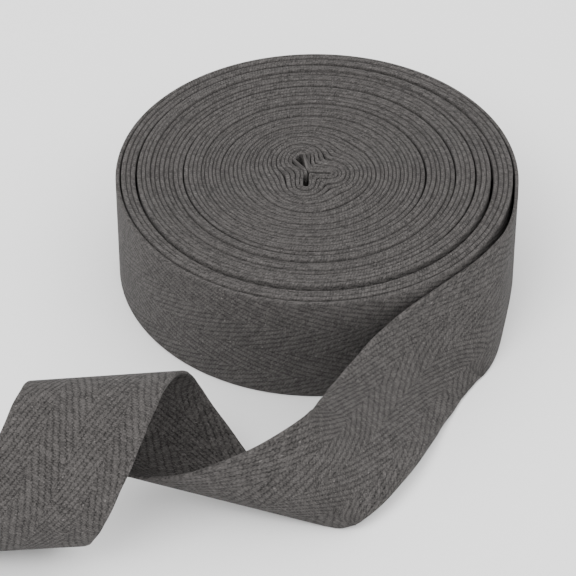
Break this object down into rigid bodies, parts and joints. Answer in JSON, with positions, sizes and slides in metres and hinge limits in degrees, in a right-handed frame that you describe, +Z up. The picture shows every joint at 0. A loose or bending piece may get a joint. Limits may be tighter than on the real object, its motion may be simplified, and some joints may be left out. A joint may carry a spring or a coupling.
{
  "type": "roll of cotton twill tape",
  "caption": "Flat spiral roll of dark grey herringbone cotton twill tape, with its loose end twisted over once on the table beside it.",
  "frame": {"origin": "middle of the roll's base, on the surface that it rests on", "axes": "+Z up along the roll's axis; +X to the right and +Y away from the viewer in the picture"},
  "size_m": [0.1939, 0.2134, 0.0515],
  "materials": {
    "cotton_roll": "matt herringbone twill, seen on edge on top",
    "cotton_loose_end": "matt herringbone twill"
  },
  "bodies": {
    "root": {"wound_roll": "cotton_roll", "loose_end": "cotton_loose_end"}
  },
  "joints": []
}
